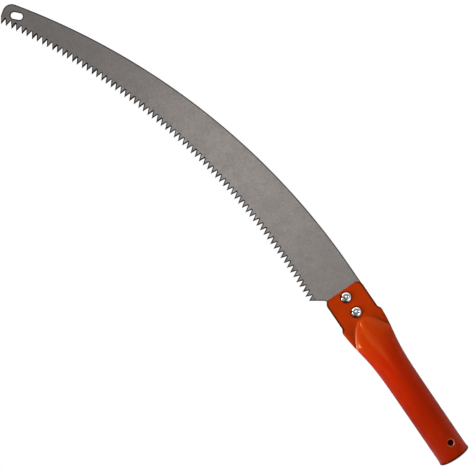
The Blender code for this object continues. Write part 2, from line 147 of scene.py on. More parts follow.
# Sizes that follow from the ones above
HALF_BLADE = BLADE_THICKNESS / 2
CHEEK_HALF_THICKNESS = HALF_BLADE + FIT_GAP + TUBE_WALL
TUBE_GIRTH = pi * (2 * TUBE_RADIUS - TUBE_WALL)
FOLD_GIRTH = 2 * pi * (CHEEK_HALF_THICKNESS - TUBE_WALL / 2)
FLAT_HALF_WIDTH = (TUBE_GIRTH - FOLD_GIRTH) / 4 + CHEEK_HALF_THICKNESS
CHEEK_HALF_WIDTH = FLAT_HALF_WIDTH - EDGE_TRIM
STEP_SLOPE = STEP_WIDTH / STEP_LENGTH
STEP_TOP_Z = HANDLE_LENGTH - CHEEK_LENGTH
FRONT_RIVET_Z = HANDLE_LENGTH - RIVET_FROM_FRONT
REAR_RIVET_Z = FRONT_RIVET_Z - RIVET_SPACING
ARCH_APEX_Z = REAR_RIVET_Z - RIVET_HEAD_RADIUS - ARCH_TO_RIVET_HEAD
FLARE_MIDDLE_Z = ARCH_APEX_Z - FLARE_MIDDLE_BELOW_APEX
RIVET_HOLE_RADIUS = RIVET_SHANK_RADIUS + FIT_GAP
BACK_X = CHEEK_HALF_WIDTH - BACK_INSET
TANG_X = TANG_INSET - CHEEK_HALF_WIDTH
TANG_END_Z = REAR_RIVET_Z - TANG_BELOW_RIVET
BACK_CENTRE = np.array((BACK_X - BACK_RADIUS, BACK_ARC_START))
END_ANGLE = BACK_ARC_LENGTH / BACK_RADIUS
END_DIRECTION = np.array((cos(END_ANGLE), sin(END_ANGLE)))
FIRST_TIP = np.array((BACK_X - HEEL_WIDTH, HEEL_TOOTH_Z))
HEEL_TIP = FIRST_TIP + HEEL_TRIM * np.array((1, TOOTH_PITCH / TOOTH_DEPTH / 2))
END_POINT = BACK_CENTRE + (BACK_RADIUS - TIP_WIDTH) * END_DIRECTION
HEEL_DIRECTION = np.array((cos(HEEL_ANGLE), -sin(HEEL_ANGLE)))

# Mesh resolution
SHELL_COLUMNS = 97
MOUTH_ROWS = 7
SCREW_HOLE_ROWS = 25
TUBE_ROWS = 13
FLARE_ROWS = 25
ARCH_ROWS = 41
STEP_ROWS = 7
CHEEK_ROWS = 24
CORNER_ROWS = 16
CUT_SEARCH_ROWS = 4000
TURN_NUDGE = 1e-4
HOLE_BLOCK_SHARE = 1.8
HOLE_RINGS = 7
RIM_POINTS = 7
RIVET_SIDES = 96
ARC_POINTS = 17
BACK_POINTS = 160
END_EDGE_POINTS = 7
HEEL_POINTS = 9
EDGE_POINTS = 5
WELD = 0.0005 * MM

FRONT, BACK = -1, 1


# Meshes from arrays of points

class Patchwork:
    """Collects grids of points, with one shade value each, and welds them into one closed mesh."""

    def __init__(self):
        self.points, self.shades, self.faces = [], [], []
        self.count = 0

    def add(self, points, shade):
        """Adds an array of points and gives back their numbers in the same layout."""
        numbers = self.count + np.arange(points[..., 0].size).reshape(points.shape[:-1])
        self.points.append(points.reshape(-1, 3))
        self.shades.append(np.broadcast_to(shade, points.shape[:-1]).ravel())
        self.count += numbers.size
        return numbers

    def grid(self, points, shade=0.0, keep=None):
        """Joins neighbours in a grid by quads, all of them or those that the mask keeps."""
        n = self.add(points, shade)
        quads = np.stack((n[:-1, :-1], n[:-1, 1:], n[1:, 1:], n[1:, :-1]), axis=-1)
        self.faces += (quads.reshape(-1, 4) if keep is None else quads[keep]).tolist()

    def polygons(self, *corners, shade=0.0):
        """One face from each row of the given corner arrays."""
        numbers = np.stack([self.add(points, shade) for points in corners], axis=-1)
        self.faces += numbers.tolist()

    def flat(self, loops, y):
        """Fills a flat outline with holes, given as loops of X and Z, at one Y."""
        rings = [[Vector((x, z, 0.0)) for x, z in loop] for loop in loops]
        triangles = np.array(tessellate_polygon(rings))
        points = np.concatenate(loops)
        numbers = self.add(np.insert(points, 1, y, axis=1), 0.0)
        self.faces += numbers[triangles].tolist()

    def make(self, name, sharp_angle):
        """Welds the seams, turns the faces outwards and keeps edges above the angle sharp."""
        mesh = bpy.data.meshes.new(name)
        mesh.from_pydata(np.concatenate(self.points).tolist(), [], self.faces)
        shade = mesh.attributes.new("shade", "FLOAT", "POINT")
        shade.data.foreach_set("value", np.concatenate(self.shades).astype(np.float32))
        bm = bmesh.new()
        bm.from_mesh(mesh)
        bmesh.ops.remove_doubles(bm, verts=bm.verts, dist=WELD)
        bmesh.ops.dissolve_degenerate(bm, edges=bm.edges, dist=WELD)
        bmesh.ops.recalc_face_normals(bm, faces=bm.faces)
        bm.to_mesh(mesh)
        bm.free()
        mesh.shade_smooth()
        mesh.set_sharp_from_angle(angle=sharp_angle)
        piece = bpy.data.objects.new(name, mesh)
        bpy.context.scene.collection.objects.link(piece)
        return piece


def closed(points):
    """The array with its first column repeated at the end, so that a ring closes."""
    return np.concatenate((points, points[:, :1]), axis=1)


def arc(centre, radius, start, end):
    """Points of an arc in X and Z: centre plus radius times (cos, sin) of evenly spaced angles."""
    angle = np.linspace(start, end, ARC_POINTS)
    return centre + radius * np.column_stack((np.cos(angle), np.sin(angle)))


# Handle

def smaller_of(a, b, sharpness):
    """The smaller of two lengths, rounded over where they meet: a power mean of high negative order."""
    return (a ** -sharpness + b ** -sharpness) ** (-1 / sharpness)


def tube_half_width(z):
    """Radius of the tube, plus a parabola at the mouth, plus a tanh step to the flattened half width."""
    flattened = 0.5 * (1 + np.tanh((z - FLARE_MIDDLE_Z) / FLARE_LENGTH))
    flare = np.maximum(0.0, 1 - z / MOUTH_FLARE_LENGTH) ** 2 * MOUTH_FLARE
    return TUBE_RADIUS + flare + (FLAT_HALF_WIDTH - TUBE_RADIUS) * flattened


def bulge_half_size(z):
    """Half width and height of the rounded tube where it dives under the flat cheeks.

    The height follows the square root of the depth below the apex of the arch, where it reaches
    the cheeks, and the width keeps to the height, so that the crease is a parabola.
    """
    depth = ARCH_APEX_Z - z
    height = np.sqrt(np.maximum(CHEEK_HALF_THICKNESS ** 2 + 2 * BULGE_NOSE_RADIUS * depth, WELD ** 2))
    aspect = sqrt(ARCH_NOSE_RADIUS / BULGE_NOSE_RADIUS)
    full_height = TUBE_RADIUS + tube_half_width(z) - tube_half_width(np.maximum(z, MOUTH_FLARE_LENGTH))
    height = smaller_of(height, full_height, TOP_BLEND_SHARPNESS)
    return smaller_of(aspect * height, tube_half_width(z), SIDE_BLEND_SHARPNESS), height


def tube_outside(turn, z):
    """The outside of the handle as a function of the turn round the tube and the height.

    X is the half width times cos(turn). Y is the larger of two arches over X, with the crease
    between them rounded by a high power mean: a flat loop with round folds, and the bulge's ellipse.
    """
    width = tube_half_width(z)
    x = width * np.cos(turn)
    beyond = np.maximum(np.abs(x) - (width - CHEEK_HALF_THICKNESS), 0)
    loop = np.sqrt(np.maximum(CHEEK_HALF_THICKNESS ** 2 - beyond ** 2, 0))
    bulge_width, bulge_height = bulge_half_size(z)
    bulge = bulge_height * np.sqrt(np.maximum(1 - (x / bulge_width) ** 2, 0))
    y = (loop ** CREASE_SHARPNESS + bulge ** CREASE_SHARPNESS) ** (1 / CREASE_SHARPNESS)
    return np.stack((x, y * np.sign(np.sin(turn)), z + 0 * x), axis=-1)


def tube_inside(turn, z):
    """The outside moved inwards by the wall, square to each cross-section."""
    along = tube_outside(turn + TURN_NUDGE, z) - tube_outside(turn - TURN_NUDGE, z)
    normal = np.stack((along[..., 1], -along[..., 0], 0 * along[..., 0]), axis=-1)
    normal /= np.linalg.norm(normal, axis=-1, keepdims=True)
    return tube_outside(turn, z) - TUBE_WALL * normal


def outline_half_width(z):
    """Half width that the flattened tube is cut to: a slanted step, straight cheeks, round corners."""
    slant = CHEEK_HALF_WIDTH + np.maximum(STEP_TOP_Z - z, 0) * STEP_SLOPE
    into_corner = np.clip(z - (HANDLE_LENGTH - CHEEK_CORNER_RADIUS), 0, CHEEK_CORNER_RADIUS - RIM_ROUND)
    round_off = CHEEK_CORNER_RADIUS - np.sqrt(CHEEK_CORNER_RADIUS ** 2 - into_corner ** 2)
    return slant - round_off - RIM_ROUND


def cut_start():
    """The height where the cut outline first enters the tube's own silhouette."""
    z = np.linspace(FLARE_MIDDLE_Z, STEP_TOP_Z, CUT_SEARCH_ROWS)
    return z[np.argmax(outline_half_width(z) < tube_half_width(z))]


def shell_heights():
    """Heights of the grid's rows, and the number of the row where the cut outline starts.

    Rows are evenly spaced between stops, closer at the mouth, the screw hole and the arch, and
    follow a sine round the corners.
    """
    start = cut_start()
    corner = HANDLE_LENGTH - CHEEK_CORNER_RADIUS
    stops = (RIM_ROUND, MOUTH_FLARE_LENGTH, 2 * SCREW_HOLE_FROM_BUTT, FLARE_MIDDLE_Z - 2 * FLARE_LENGTH,
             FLARE_MIDDLE_Z, start, STEP_TOP_Z, corner)
    counts = (MOUTH_ROWS, SCREW_HOLE_ROWS, TUBE_ROWS, FLARE_ROWS, ARCH_ROWS, STEP_ROWS, CHEEK_ROWS)
    even = [np.linspace(low, high, count, endpoint=False)
            for low, high, count in zip(stops, stops[1:], counts)]
    sweep = np.linspace(0, pi / 2, CORNER_ROWS)
    round_corner = corner + (CHEEK_CORNER_RADIUS - RIM_ROUND) * np.sin(sweep)
    return np.concatenate((*even, round_corner)), sum(counts[:stops.index(start)])


def rolled_rim(outside, inside, outwards):
    """Half a superellipse from the outer edge to the inner one, bulging outwards by the rim's rounding.

    The outwards vectors are 1 long for the full bulge, and shorter where the rim fades out.
    """
    turn = np.linspace(0, pi, RIM_POINTS)
    across = np.sign(np.cos(turn)) * np.abs(np.cos(turn)) ** RIM_SQUARENESS
    out = RIM_ROUND * np.abs(np.sin(turn)) ** RIM_SQUARENESS
    middle, half = (outside + inside) / 2, (outside - inside) / 2
    return middle[:, None] + half[:, None] * across[:, None] + outwards[:, None] * out[:, None]


def outward(path):
    """Directions square to a path in the XZ plane, away from its left side."""
    along = np.gradient(path, axis=0)
    aside = np.column_stack((along[:, 2], 0 * along[:, 0], -along[:, 0]))
    return aside / np.linalg.norm(aside, axis=1, keepdims=True)


def turn_at(x, z, side):
    """The turn round the tube at which its front or back reaches X."""
    quarter = np.arccos(np.clip(x / tube_half_width(z), -1, 1))
    return quarter if side == BACK else 2 * pi - quarter


def drill(shell, turn, z, side, centre_x, centre_z, radius, squeeze, rim_shade):
    """Makes a hole: the grid's block round it gives way to rings that blend from its border to a circle.

    Each ring is a mix, in X and Z, of the block's border and the circle under the same angle.
    Gives back the mask of the quads that stay.
    """
    x = tube_half_width(z) * np.cos(turn)
    reach = HOLE_BLOCK_SHARE * radius
    rows = np.flatnonzero(np.abs(z[:, 0] - centre_z) < reach)
    columns = np.flatnonzero(np.abs(x[rows[len(rows) // 2]] - centre_x) < reach)
    low, high, left, right = rows[0], rows[-1], columns[0], columns[-1]
    i = np.concatenate((np.full(right - left, low), np.arange(low, high),
                        np.full(right - left, high), np.arange(high, low, -1)))
    j = np.concatenate((np.arange(left, right), np.full(high - low, right),
                        np.arange(right, left, -1), np.full(high - low, left)))
    border = np.stack((x[i, j], z[i, j]), axis=-1)
    angle = np.arctan2(border[:, 1] - centre_z, border[:, 0] - centre_x)
    towards = np.stack((np.cos(angle) * squeeze, np.sin(angle)), axis=-1)
    circle = np.array((centre_x, centre_z)) + (radius + RIM_ROUND) * towards
    share = np.linspace(0, 1, HOLE_RINGS)[:, None, None]
    ring = closed(border + (circle - border) * share)
    ring_turn = turn_at(ring[..., 0], ring[..., 1], side)
    outside, inside = tube_outside(ring_turn, ring[..., 1]), tube_inside(ring_turn, ring[..., 1])
    shell.grid(outside)
    shell.grid(inside)
    inwards = -np.insert(closed(towards[None])[0], 1, 0.0, axis=1)
    shell.grid(rolled_rim(outside[-1], inside[-1], inwards), rim_shade)
    keep = np.ones((z.shape[0] - 1, z.shape[1] - 1), bool)
    keep[low:high, left:right] = False
    return keep


def crease_shade(points):
    """Painted shade beside the legs of the crease, which fades out away from it, and a painted highlight
    inside the left leg.

    The distance from the crease's parabola is its equation divided by the length of the gradient.
    The painted shade falls off exponentially with it, the painted highlight as a bell curve, and both grow
    down the legs.
    """
    x, z = points[..., 0], points[..., 2]
    away = (z - ARCH_APEX_Z + x ** 2 / (2 * ARCH_NOSE_RADIUS)) / np.hypot(1, x / ARCH_NOSE_RADIUS)
    # Painted shade darkens the flat beside the crease; a painted highlight lightens the inside of the left
    # leg
    painted_shade = np.clip(away / CREASE_LINE_WIDTH, 0, 1) * np.exp(-np.maximum(away, 0) / CREASE_PAINTED_SHADE_WIDTH)
    painted_highlight = np.exp(-(away / CREASE_LINE_WIDTH + 1) ** 2)
    out = np.abs(x) / ARCH_NOSE_RADIUS
    painted_shade *= np.clip(out - CREASE_PAINTED_SHADE_START, 0, 1)
    painted_highlight *= (out / 2) ** 2 * (x < 0)
    return CREASE_PAINTED_SHADE * painted_shade - CREASE_PAINTED_HIGHLIGHT * painted_highlight


def make_handle():
    """Front and back shells of the tube, joined along the folds and rimmed where they are cut."""
    shell = Patchwork()
    heights, first_cut = shell_heights()
    half_width = np.minimum(outline_half_width(heights), tube_half_width(heights))
    trim = np.arccos(np.clip(half_width / tube_half_width(heights), 0, 1))
    trim[:first_cut + 1] = 0.0
    share = np.linspace(0, 1, SHELL_COLUMNS)
    z = np.repeat(heights[:, None], SHELL_COLUMNS, axis=1)
    for side, start in ((BACK, 0.0), (FRONT, pi)):
        turn = start + trim[:, None] + (pi - 2 * trim[:, None]) * share
        keep = np.ones((len(heights) - 1, SHELL_COLUMNS - 1), bool)
        # Painted shade on the rivet holes' rims under the heads
        for rivet_z in (FRONT_RIVET_Z, REAR_RIVET_Z):
            keep &= drill(shell, turn, z, side, 0.0, rivet_z, RIVET_HOLE_RADIUS, 1.0, 1.0)
        if side == FRONT:
            # A painted highlight on the screw hole's rim
            keep &= drill(shell, turn, z, side, TUBE_RADIUS * sin(SCREW_HOLE_TURN), SCREW_HOLE_FROM_BUTT,
                          SCREW_HOLE_RADIUS, cos(SCREW_HOLE_TURN), -1.0)
        outside, inside = tube_outside(turn, z), tube_inside(turn, z)
        # Painted shade along the cut sides and the butt's rim, with the crease's painted shade and highlight
        from_side = half_width[:, None] - np.abs(outside[..., 0]) + (trim[:, None] == 0)
        from_edge = np.minimum(from_side, z - RIM_ROUND)
        side_shade = np.clip(DARK_SIDE_STRENGTH * (1 - from_edge / DARK_SIDE_WIDTH), 0, 1)
        shell.grid(outside, side_shade + crease_shade(outside), keep)
        shell.grid(inside, keep=keep)
        around = [np.concatenate((wall[first_cut:, 0], wall[-1, 1:-1], wall[first_cut:, -1][::-1]))
                  for wall in (outside, inside)]
        outwards = outward(around[0]) * side
        edge_rows = len(heights) - first_cut
        # Painted shade on the side rims, none on the front edge
        along_sides = np.concatenate((np.ones(edge_rows), np.zeros(SHELL_COLUMNS - 2), np.ones(edge_rows)))
        rise = np.clip(np.arange(len(outwards)) / RIM_FADE_ROWS, 0, 1)
        outwards *= np.minimum(rise, rise[::-1])[:, None]
        shell.grid(rolled_rim(around[0], around[1], outwards), shade=along_sides[:, None])
        down = np.broadcast_to((0.0, 0.0, -1.0), outside[0].shape)
        # Painted shade on the butt's rim
        shell.grid(rolled_rim(outside[0], inside[0], down), shade=1.0)
    return shell.make("enamelled_handle", HANDLE_SHARP_ANGLE)


# Rivets

def crest_radius():
    """Radius of the rolled rim's crest, halfway between its dimple and its outer edge."""
    return (RIVET_HEAD_RADIUS + RIVET_DIMPLE_RADIUS) / 2


def rivet_profile():
    """Radius, Y and shade from the pin end inside the rolled rim, over its crest, to the top of the head.

    The pin end is a parabola, and the dimple, the roll and the head are quarter ellipses, of which the
    first two meet at the crest. The shade is painted shade in the groove, under the roll and where the head
    meets the cheek, and a painted highlight on the crest, with powers of sine and cosine between them.
    """
    seat = CHEEK_HALF_THICKNESS + FIT_GAP
    crest, groove = crest_radius(), RIVET_PIN_RADIUS
    turn = np.linspace(0, pi / 2, ARC_POINTS)
    share = np.linspace(0, 1, ARC_POINTS)[:-1]
    top = -seat - RIVET_ROLL_HEIGHT
    pin_depth = RIVET_PIN_DEPTH + (RIVET_DIMPLE_DEPTH - RIVET_PIN_DEPTH) * share ** 2
    pin = np.column_stack((groove * share, top + pin_depth, GROOVE_SHADE * share ** 4))
    dimple = np.column_stack((crest - (crest - groove) * np.cos(turn),
                              top + RIVET_DIMPLE_DEPTH * (1 - np.sin(turn)),
                              GROOVE_SHADE * np.cos(turn) ** 4 - np.sin(turn) ** 4))
    roll = np.column_stack((crest + (RIVET_HEAD_RADIUS - crest) * np.sin(turn),
                            top + RIVET_ROLL_HEIGHT * (1 - np.cos(turn)),
                            2 * np.sin(turn) ** 6 - 1))
    head = np.column_stack((RIVET_HEAD_RADIUS * np.cos(turn),
                            seat + RIVET_HEAD_HEIGHT * np.sin(turn),
                            np.cos(turn) ** 12))
    shank = np.array(((RIVET_SHANK_RADIUS, -seat, 1.0), (RIVET_SHANK_RADIUS, seat, 1.0)))
    return np.concatenate((pin, dimple, roll[1:], shank, head))


def make_rivet(name, z):
    """The profile turned about the rivet's axis, which runs along Y.

    Patches of painted shade on the roll are bell curves of the angle round that axis.
    """
    radius, y, shade = (column[:, None] for column in rivet_profile().T)
    turn = np.linspace(0, 2 * pi, RIVET_SIDES + 1)
    points = np.stack((radius * np.cos(turn), y + 0 * turn, z + radius * np.sin(turn)), axis=-1)
    patches = sum(amount * np.exp(-((turn - middle) / width) ** 2) for amount, middle, width in RIVET_SHADE_PATCHES)
    on_roll = np.clip((radius - RIVET_PIN_RADIUS) / (crest_radius() - RIVET_PIN_RADIUS), 0, 1) * (y < 0)
    rivet = Patchwork()
    rivet.grid(points, np.minimum(shade + patches * on_roll, 1))
    return rivet.make(name, RIVET_SHARP_ANGLE)


# Blade

def reach_circle(start, direction, centre, radius):
    """Where a ray from a point inside a circle meets that circle."""
    offset = start - centre
    along = offset @ direction
    return start + direction * (sqrt(along ** 2 + radius ** 2 - offset @ offset) - along)


class ToothLine:
    """The arc along the tooth tips, from the heel to the end of the blade, divided at one pitch."""

    def __init__(self):
        half = (END_POINT - FIRST_TIP) / 2
        length = np.hypot(*half)
        aside = np.array((-half[1], half[0])) / length
        self.centre = FIRST_TIP + half + aside * sqrt(TOOTH_LINE_RADIUS ** 2 - length ** 2)
        self.start, end = (atan2(*(point - self.centre)[::-1]) for point in (FIRST_TIP, END_POINT))
        self.step = TOOTH_PITCH / TOOTH_LINE_RADIUS
        self.rake = TOOTH_DEPTH * tan(TOOTH_RAKE) / TOOTH_LINE_RADIUS
        self.count = 1 + int((end - self.start - self.step / 2 + self.rake) / self.step)
        self.root_radius = TOOTH_LINE_RADIUS + TOOTH_DEPTH
        self.skew = HALF_BLADE * tan(TOOTH_BEVEL) / self.root_radius
        self.set_side = np.where(np.arange(self.count) % 2 == 0, FRONT, BACK)

    def at(self, radius, angle):
        """Centre plus radius times (cos, sin) of the angle, in X and Z."""
        return self.centre + np.stack((radius * np.cos(angle), radius * np.sin(angle)), axis=-1)

    def roots(self, side):
        """Heel root, both corners of each gullet floor, end root; the bevels skew the gullets."""
        gullet = np.arange(self.count - 1)
        lean = np.where(self.set_side[:-1] == side, self.skew, -self.skew)
        middle = self.start + (gullet + 0.5) * self.step + self.rake + lean
        half_floor = GULLET_WIDTH / 2 / self.root_radius
        corners = self.at(self.root_radius, np.stack((middle - half_floor, middle + half_floor), axis=-1))
        heel = reach_circle(HEEL_TIP, HEEL_DIRECTION, self.centre, self.root_radius)
        end = reach_circle(END_POINT, END_DIRECTION, self.centre, self.root_radius)
        return np.concatenate((heel[None], corners.reshape(-1, 2), end[None]))

    def tips(self, side):
        """Tips in 3-D: each reaches the tooth line on the side it is set to and falls short on the other."""
        wide = self.step / 2 - GULLET_WIDTH / 2 / self.root_radius + self.skew
        share = np.where(self.set_side == side, 1.0, (wide - 2 * self.skew) / wide)
        short = TOOTH_DEPTH * (1 - share)
        lean = short * tan(TOOTH_RAKE) / TOOTH_LINE_RADIUS
        points = self.at(TOOTH_LINE_RADIUS + short, self.start + np.arange(self.count) * self.step + lean)
        y = side * HALF_BLADE + self.set_side * share * TOOTH_SET
        points[0], y[0] = HEEL_TIP, side * HALF_BLADE
        return np.stack((points[:, 0], y, points[:, 1]), axis=-1)

    def outline(self, side):
        """Left root, tip and right root of each tooth in 3-D, from the heel to the end."""
        roots = np.insert(self.roots(side), 1, side * HALF_BLADE, axis=1)
        return np.stack((roots[0::2], self.tips(side), roots[1::2]), axis=1)

    def inner_outline(self, side):
        """The outline moved into the steel by the width of the band of painted shade along each flank and
        gullet.

        A corner moves by the vector whose products with the normals of the two edges that meet there
        are the widths along these edges. Inside a tooth, Y keeps its share of the tooth's set.
        """
        outer = self.outline(side)
        flat = outer.reshape(-1, 3)[:, [0, 2]]
        along = np.diff(flat, axis=0)
        normal = np.column_stack((along[:, 1], -along[:, 0])) / np.linalg.norm(along, axis=1, keepdims=True)
        width = np.where(self.set_side[:, None] == side, *DARK_FLANK_WIDTHS).reshape(-1, 1)[:-1]
        before, after, low, high = normal[:-1], normal[1:], width[:-1], width[1:]
        cosine = np.sum(before * after, axis=1, keepdims=True)
        flat[1:-1] += ((low - cosine * high) * before + (high - cosine * low) * after) / (1 - cosine ** 2)
        reach = np.linalg.norm(flat - self.centre, axis=1).reshape(-1, 3)
        tip_reach = np.linalg.norm(outer[:, 1, [0, 2]] - self.centre, axis=1)
        share = (self.root_radius - reach[:, 1]) / (self.root_radius - tip_reach)
        y = np.full(reach.shape, side * HALF_BLADE)
        y[:, 1] += share * (outer[:, 1, 1] - side * HALF_BLADE)
        return np.insert(flat, 1, y.ravel(), axis=1).reshape(outer.shape)


def blade_rim(line):
    """The plain part of the outline in X and Z, from the end of the teeth round to the heel."""
    corner_reach = BACK_RADIUS - TIP_CORNER_RADIUS
    corner_angle = END_ANGLE - np.arcsin(TIP_CORNER_RADIUS / corner_reach)
    corner = BACK_CENTRE + corner_reach * np.array((cos(corner_angle), sin(corner_angle)))
    end_corner = arc(corner, TIP_CORNER_RADIUS, END_ANGLE + pi / 2, corner_angle)
    end_root = line.roots(FRONT)[-1]
    end_edge = end_root + (end_corner[0] - end_root) * np.linspace(0, 1, END_EDGE_POINTS)[:-1, None]
    back_angle = np.linspace(corner_angle, 0, BACK_POINTS)[1:]
    back = BACK_CENTRE + BACK_RADIUS * np.column_stack((np.cos(back_angle), np.sin(back_angle)))
    low = TANG_END_Z + TANG_CORNER_RADIUS
    tang = np.concatenate((
        arc((BACK_X - TANG_CORNER_RADIUS, low), TANG_CORNER_RADIUS, 0, -pi / 2),
        arc((TANG_X + TANG_CORNER_RADIUS, low), TANG_CORNER_RADIUS, -pi / 2, -pi)))
    fall = (TANG_X - HEEL_FILLET_RADIUS - HEEL_TIP[0]) / HEEL_DIRECTION[0]
    above = HEEL_TIP + fall * HEEL_DIRECTION
    fillet_centre = above - (0, HEEL_FILLET_RADIUS / cos(HEEL_ANGLE))
    fillet = arc(fillet_centre, HEEL_FILLET_RADIUS, 0, pi / 2 - HEEL_ANGLE)
    heel_root = line.roots(FRONT)[0]
    heel = fillet[-1] + (heel_root - fillet[-1]) * np.linspace(0, 1, HEEL_POINTS)[1:, None]
    return np.concatenate((end_edge, end_corner, back, tang, fillet, heel))


def slot_rim(line):
    """The hanging slot: two half circles about points on a line that leans towards the teeth."""
    angle = END_ANGLE - SLOT_FROM_END / BACK_RADIUS
    outwards = np.array((cos(angle), sin(angle)))
    edge = BACK_CENTRE + BACK_RADIUS * outwards
    root = reach_circle(edge - outwards * TIP_WIDTH, outwards, line.centre, line.root_radius)
    middle = (edge + root) / 2 - outwards * SLOT_SHIFT
    turn = angle + SLOT_TILT
    half_run = (SLOT_LENGTH - SLOT_WIDTH) / 2 * np.array((-sin(turn), cos(turn)))
    ends = [arc(middle + half_run * sign, SLOT_WIDTH / 2, turn + flip, turn + flip + pi)
            for sign, flip in ((1, 0), (-1, pi))]
    return np.concatenate(ends)


def hole_rim(z):
    """A circle of X and Z round a rivet's axis."""
    return arc((0.0, z), RIVET_HOLE_RADIUS, 0, -2 * pi)[:-1]


def edge_profile():
    """Inset, Y and shade across an edge with quarter-circle corners, from one face to the other."""
    turn = np.linspace(0, pi / 2, EDGE_POINTS)
    round_part = np.column_stack((EDGE_ROUND * (1 - np.sin(turn)),
                                  -HALF_BLADE + EDGE_ROUND * (1 - np.cos(turn)), 1 + 0 * turn))
    fade = np.array(((DARK_EDGE_WIDTH, -HALF_BLADE, 0.0),
                     (DARK_EDGE_WIDTH / 2, -HALF_BLADE, DARK_EDGE_SHADE)))
    half = np.concatenate((fade, round_part))
    return np.concatenate((half, (half * (1, -1, 1))[::-1]))


def edge_band(blade, rim, along, taper):
    """Carries the edge profile along a rim and gives back its inner border in X and Z.

    The rim runs with the steel on its right. The taper shrinks the profile to nothing at 0.
    """
    inwards = np.column_stack((along[:, 1], -along[:, 0]))
    inwards /= np.linalg.norm(inwards, axis=1, keepdims=True)
    inset, y, shade = edge_profile().T
    flat = rim[:, None] + inwards[:, None] * (taper[:, None] * inset)[..., None]
    depth = np.sign(y) * (HALF_BLADE - (HALF_BLADE - np.abs(y)) * taper[:, None])
    blade.grid(np.stack((flat[..., 0], depth, flat[..., 1]), axis=-1), shade * taper[:, None])
    return flat[:, 0]


def make_blade():
    """A flat plate with rounded edges in painted shade, a slot, rivet holes and bevelled, set teeth."""
    line = ToothLine()
    blade = Patchwork()
    rim = blade_rim(line)
    run = np.concatenate(((0.0,), np.cumsum(np.hypot(*np.diff(rim, axis=0).T))))
    taper = np.clip(np.minimum(run, run[-1] - run) / DARK_EDGE_WIDTH, 0, 1)
    inner_rim = edge_band(blade, rim, np.gradient(rim, axis=0), taper)
    slot = slot_rim(line)
    slot_run = np.roll(slot, -1, axis=0) - np.roll(slot, 1, axis=0)
    slot, slot_run = (np.concatenate((part, part[:1])) for part in (slot, slot_run))
    inner_slot = edge_band(blade, slot, slot_run, np.ones(len(slot)))[:-1]
    holes = [hole_rim(z) for z in (FRONT_RIVET_Z, REAR_RIVET_Z)]
    for hole in holes:
        wall = np.stack([np.insert(hole, 1, side * HALF_BLADE, axis=1) for side in (FRONT, BACK)])
        blade.grid(closed(wall))

    outline = {side: line.outline(side) for side in (FRONT, BACK)}
    for side in (FRONT, BACK):
        inner = line.inner_outline(side)
        outer_run, inner_run = outline[side].reshape(-1, 3), inner.reshape(-1, 3)
        middle_run = outer_run + (inner_run - outer_run) * DARK_FLANK_SHARE
        # Painted highlight at the inner tip of each tooth set away from this side
        bright = np.zeros(inner.shape[:2])
        bright[:, 1] = np.where(line.set_side == side, 0.0, -1.0)
        shades = (np.ones(bright.size), np.full(bright.size, DARK_FLANK_SHADE), bright.ravel())
        blade.grid(np.stack((outer_run, middle_run, inner_run)), np.stack(shades))
        blade.polygons(*inner.swapaxes(0, 1), shade=bright[:, 0])
        inner_roots = inner[:, [0, 2]].reshape(-1, 3)[1:-1, [0, 2]]
        blade.flat([np.concatenate((inner_rim, inner_roots)), inner_slot] + holes, side * HALF_BLADE)
    left, tip, right = outline[FRONT].swapaxes(0, 1)
    far_left, far_tip, far_right = outline[BACK].swapaxes(0, 1)
    blade.polygons(left, far_left, far_tip, tip, shade=1.0)
    blade.polygons(right, far_right, far_tip, tip, shade=1.0)
    blade.polygons(right[:-1], far_right[:-1], far_left[1:], left[1:], shade=1.0)
    return blade.make("ground_blade", BLADE_SHARP_ANGLE)


# Finishes, with colours as linear red, green and blue

TUBE_ORANGE = (0.64, 0.020, 0.0010)
CHEEK_ORANGE = (0.65, 0.043, 0.0016)
# Painted shade: the tube darkens towards the butt
LOW_TUBE_SHADE = (0.78, 0.74, 0.72)
ENAMEL_CLOUD_TINT = (0.93, 0.93, 0.93)
ENAMEL_GLOSS_TINT = (1.0, 0.42, 0.08, 1.0)
RIVET_RING_BROWN = (0.05, 0.006, 0.002)
# Painted shade along the handle's cut sides, its butt and beside the crease
PAINTED_SHADE_BROWN = (0.03, 0.004, 0.0015)
# Painted highlight in the crease and on the screw hole's rim
HIGHLIGHT_ENAMEL = (0.85, 0.40, 0.24)
CHEEK_TONE_HEIGHTS = (95 * MM, 140 * MM)
LOW_TUBE_HEIGHTS = (30 * MM, 120 * MM)
# Painted shade round the rivet heads, where their shadow falls on the enamel
RIVET_RING_RADII = (RIVET_HEAD_RADIUS + 0.3 * MM, RIVET_HEAD_RADIUS + 1.5 * MM)
RIVET_RING_SHADE = 0.85
BRIGHT_PLATING = (0.84, 0.84, 0.85)
DULL_PLATING = (0.70, 0.71, 0.73)
# Painted highlight on the rivets' rims; painted shade in their grooves, under their rolls and in patches
HIGHLIGHT_PLATING = (0.95, 0.95, 0.95)
RIVET_SHADE_BLACK = (0.02, 0.02, 0.022)
DARK_STEEL = (0.333, 0.308, 0.293)
PALE_STEEL = (0.475, 0.440, 0.420)
HIGHLIGHT_STEEL = (0.75, 0.73, 0.71)
WARM_STEEL_TINT = (1.0, 0.965, 0.945)
# Painted shade on the blade's edges and tooth flanks, painted highlight inside the teeth
BLADE_EDGE_BLACK = (0.015, 0.0145, 0.014)
UPPER_FLANK_GREY = (0.12, 0.117, 0.113)
LOWER_FLANK_BLACK = (0.02, 0.02, 0.02)
STREAK_STRETCH = (1500.0, 220.0, 1.0)
TOOTH_ROOT_MARGIN = 0.05 * MM
NOISE_RANGE = (0.3, 0.7)


def add(tree, kind, inputs=None, **settings):
    """A node with its settings, and its inputs set to values or linked to sockets."""
    node = tree.nodes.new(kind)
    for name, value in settings.items():
        setattr(node, name, value)
    for name, value in (inputs or {}).items():
        if isinstance(value, bpy.types.NodeSocket):
            tree.links.new(value, node.inputs[name])
        else:
            node.inputs[name].default_value = value
    return node


